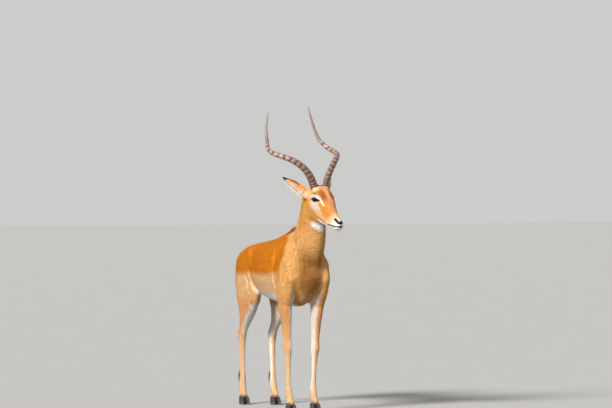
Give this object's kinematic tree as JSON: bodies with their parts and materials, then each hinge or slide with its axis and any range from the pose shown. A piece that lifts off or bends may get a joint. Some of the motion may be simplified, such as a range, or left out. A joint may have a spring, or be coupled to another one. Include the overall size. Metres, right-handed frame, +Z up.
{
  "type": "impala antelope",
  "caption": "Life-size standing male impala with lyre-shaped ringed horns, its head turned to its left, as a still museum model.",
  "frame": {"origin": "middle of the bounding box, on the floor that the hooves stand on", "axes": "+Z up, the animal faces -Y and its left side is towards +X"},
  "size_m": [0.3896, 1.2232, 1.4805],
  "materials": {
    "coat": "short glossy hair, orange-brown above, tan on the flanks and white beneath",
    "tail_hair": "longer white hair with a black stripe",
    "horn": "ridged grey-brown keratin, smooth at the tips",
    "hoof": "black keratin, satin",
    "eye": "wet dark brown"
  },
  "bodies": {
    "root": {"head": "coat", "neck": "coat", "trunk": "coat", "tail": "tail_hair", "foreleg_right": "coat", "foreleg_left": "coat", "hindleg_right": "coat", "hindleg_left": "coat", "ear_right": "coat", "ear_left": "coat", "eye_right": "eye", "horn_right": "horn", "hoof_fore_right_inner": "hoof", "hoof_fore_right_outer": "hoof", "hoof_hind_right_inner": "hoof", "hoof_hind_right_outer": "hoof", "eye_left": "eye", "horn_left": "horn", "hoof_fore_left_inner": "hoof", "hoof_fore_left_outer": "hoof", "hoof_hind_left_inner": "hoof", "hoof_hind_left_outer": "hoof"}
  },
  "joints": []
}
